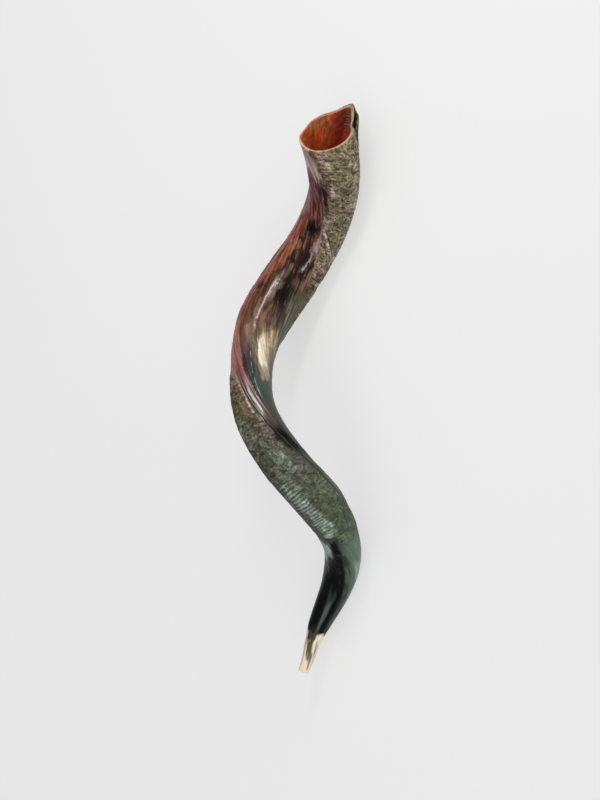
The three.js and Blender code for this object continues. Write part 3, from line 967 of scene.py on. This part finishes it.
def softbox(name, direction, size, glow):
    """A softbox that faces the horn, and is as bright as glow."""
    data = bpy.data.lights.new(name, "AREA")
    data.shape, data.size, data.size_y = "RECTANGLE", *size
    data.energy = glow * math.pi * size[0] * size[1]
    light = bpy.data.objects.new(name, data)
    bpy.context.scene.collection.objects.link(light)
    direction = Vector(direction).normalized()
    light.location = Vector(SOFTBOXES_FACE) + direction * SOFTBOXES_AWAY
    light.rotation_euler = direction.to_track_quat("Z", "Y").to_euler()
    light.visible_camera = False


def fill(name, direction, strength, angle):
    """Wide soft light that isn't seen in reflections."""
    data = bpy.data.lights.new(name, "SUN")
    data.energy, data.angle = strength, math.radians(angle)
    light = bpy.data.objects.new(name, data)
    bpy.context.scene.collection.objects.link(light)
    light.rotation_euler = Vector(direction).to_track_quat("Z", "Y").to_euler()
    light.visible_glossy = False


def make_world():
    """A dim studio, whose light comes mostly from below the horizon, as from a pale table."""
    world = bpy.data.worlds.new("studio")
    bpy.context.scene.world = world
    world.use_nodes = True
    tree = world.node_tree
    background = tree.nodes["Background"]
    background.inputs["Color"].default_value = (0.92, 0.94, 0.96, 1)
    direction = add_node(tree, "TexCoord").outputs["Generated"]
    rise = add_node(tree, "SeparateXYZ", [("Vector", direction)]).outputs["Z"]
    strength = spread(tree, rise, low=-0.25, high=0.05, to_low=0.3, to_high=0.07)
    tree.links.new(strength, background.inputs["Strength"])


def make_floor():
    """The floor reaches far past the view, and isn't seen in the horn's gloss."""
    side = 30
    mesh = bpy.data.meshes.new("floor")
    outline = [(-side, -side, 0), (side, -side, 0), (side, side, 0), (-side, side, 0)]
    mesh.from_pydata(outline, [], [(0, 1, 2, 3)])
    mesh.materials.append(floor_material())
    floor = bpy.data.objects.new("floor", mesh)
    bpy.context.scene.collection.objects.link(floor)
    floor.visible_glossy = False


def make_stage():
    """The world, the floor and the lights."""
    make_world()
    make_floor()
    softbox("softbox_bell", direction=(0.75, -0.28, 0.6), size=(0.26, 1.0), glow=13)
    softbox("softbox_tip", direction=(-0.68, -0.26, 0.64), size=(0.7, 0.9), glow=1.2)
    fill("fill_over", direction=(0.1, -0.3, 1), strength=1.05, angle=150)
    fill("fill_front", direction=(-0.2, -0.9, 0.9), strength=0.95, angle=120)
    bpy.context.scene.view_settings.view_transform = "Standard"


# ---------------------------------------------------------------- the horn

LYING = lying()
MATERIALS = {
    "ivory": polished_horn("ivory_horn", rough=0.28, streaks=0.10, coat=0.15),
    "polished": polished_horn("polished_horn", rough=0.26, streaks=0.32, coat=0.45),
    "crust": crusted_horn("crusted_horn"),
    "keel": polished_horn("keel_horn", rough=0.2, streaks=0.25, coat=0.3),
}
for name, first, last in CONES:
    cone(name, first, last, "ivory" if first == 0 else "polished")
for name, first, last in CRUSTS:
    strip(name, first, last, low=CRUST_LOW - 24, high=60, columns=200, step=0.85,
          top=crust_height, under=crust_under, tint=crust_tint, dull=crust_dull, slot="crust")
strip("spiral_keel", KEEL_FROM, RINGS, low=49, high=82, columns=62, step=1.0,
      top=keel_height, under=keel_under, tint=keel_tint, dull=keel_dull, slot="keel")
make_camera()
make_stage()
